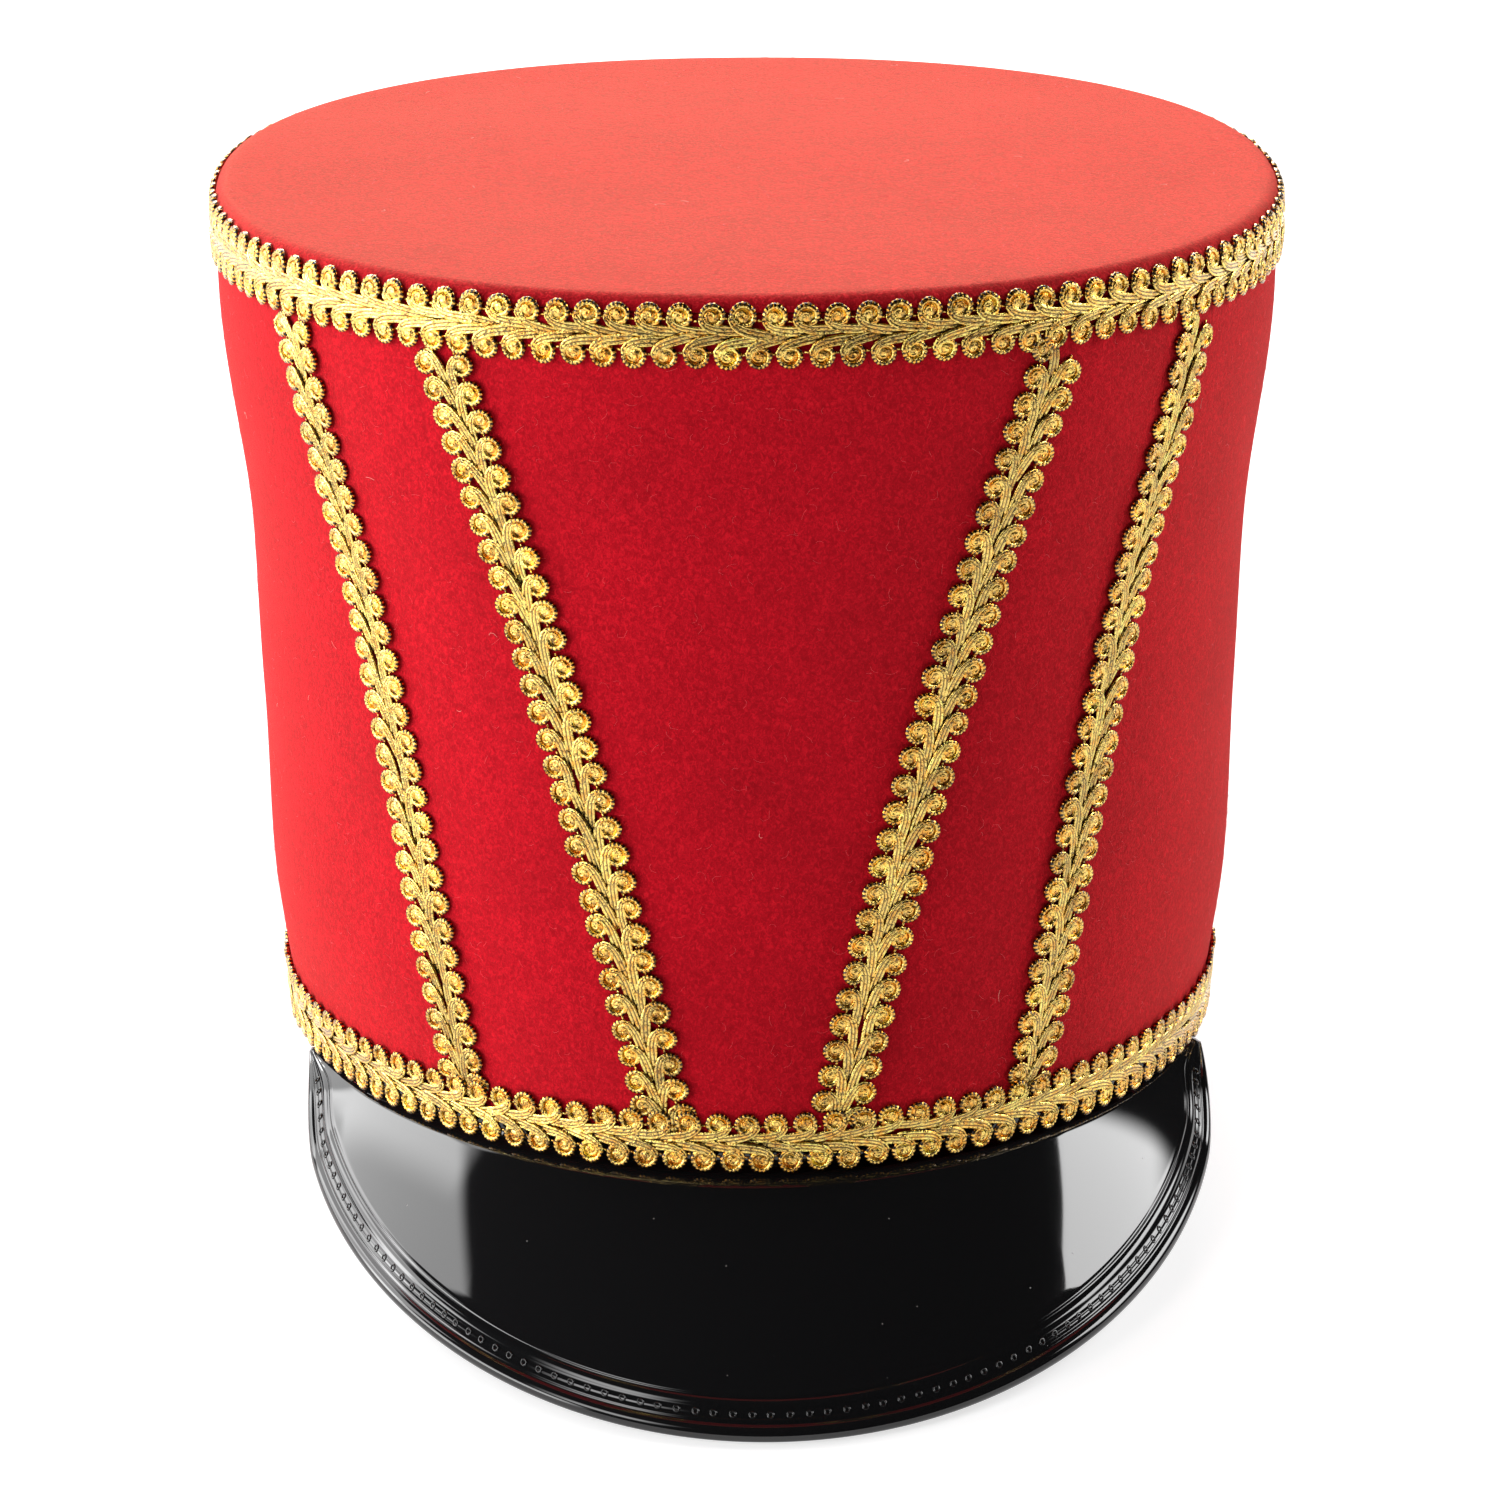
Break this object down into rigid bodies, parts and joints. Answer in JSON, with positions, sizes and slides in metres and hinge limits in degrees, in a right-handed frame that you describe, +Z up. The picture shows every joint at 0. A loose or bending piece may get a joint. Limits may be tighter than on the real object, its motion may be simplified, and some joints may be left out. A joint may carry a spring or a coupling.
{
  "type": "shako",
  "caption": "Tall flared felt shako with a flat top, looped metallic braid round the top and rim and in slanted strips on the front, and a glossy moulded peak.",
  "frame": {"origin": "on the surface that the hat stands on, under the middle of its box", "axes": "+Z up, -Y towards the peak at the front, +X to the right of someone looking at the front"},
  "size_m": [0.2012, 0.276, 0.1911],
  "materials": {
    "crown_felt": "matt red wool felt with a short nap",
    "top_felt": "matt red wool felt with a short nap",
    "gold_braid": "woven metallic gold yarn, glinting",
    "patent_peak": "high gloss black moulded sheet"
  },
  "bodies": {
    "root": {"crown_wall": "crown_felt", "crown_top": "top_felt", "top_braid": "gold_braid", "rim_braid": "gold_braid", "braid_outer_left": "gold_braid", "braid_inner_left": "gold_braid", "braid_inner_right": "gold_braid", "braid_outer_right": "gold_braid", "peak": "patent_peak"}
  },
  "joints": []
}
